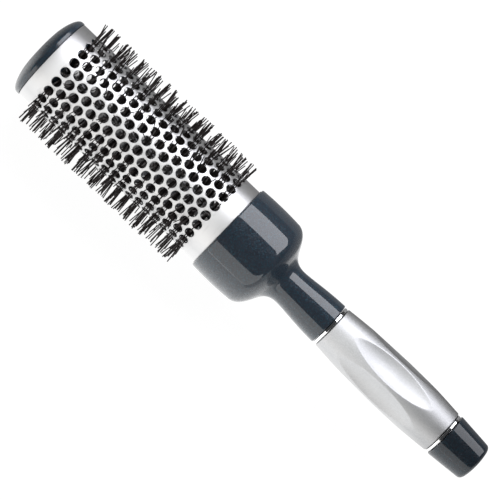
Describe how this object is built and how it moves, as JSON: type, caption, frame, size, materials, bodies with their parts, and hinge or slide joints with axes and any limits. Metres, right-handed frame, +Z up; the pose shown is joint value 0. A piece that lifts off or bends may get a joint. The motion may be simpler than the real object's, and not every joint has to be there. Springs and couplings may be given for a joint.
{
  "type": "round barrel brush",
  "caption": "Round blow-drying brush: perforated metal barrel with nylon bristles, glossy collar, sculpted silver grip and a tail cap that pulls out as a sectioning pick.",
  "frame": {"origin": "centre of the flat land on the end cap, where the brush's axis meets its front face", "axes": "+X along the brush's axis from the end cap to the tail of the handle; +Z up through the middle of one of the grip's scoops; +Y completes the right-handed frame"},
  "size_m": [0.2737, 0.0598, 0.0596],
  "materials": {
    "navy_gloss": "dark navy moulding with fine teal metallic flakes under a clear gloss",
    "barrel_aluminium": "satin, very finely brushed round the axis",
    "bristle_nylon": "dark brown-black nylon filament with cut ends",
    "grip_silver": "silver metallic satin paint on a moulded grip",
    "ring_chrome": "mirror plated",
    "hidden_steel": "drawn steel wire and turned steel",
    "hidden_plastic": "black moulded plastic",
    "seal_rubber": "black moulded seal"
  },
  "bodies": {
    "brush": {"end_cap": "navy_gloss", "barrel": "barrel_aluminium", "front_ferrule": "hidden_steel", "core_wire_a": "hidden_steel", "core_wire_b": "hidden_steel", "bristles": "bristle_nylon", "barrel_hub": "hidden_plastic", "rear_ferrule": "hidden_steel", "handle_collar": "navy_gloss", "front_ring": "ring_chrome", "handle_core": "hidden_plastic", "grip": "grip_silver", "rear_ring": "ring_chrome", "clamp_nut": "hidden_steel"},
    "sectioning_pick": {"tail_cap": "navy_gloss", "stem_o_ring": "seal_rubber", "pick_pin": "hidden_steel"}
  },
  "joints": [
    {"name": "pick_slide", "type": "slide", "parent": "brush", "child": "sectioning_pick", "axis": [1, 0, 0], "range_m": [0, 0.085]}
  ]
}
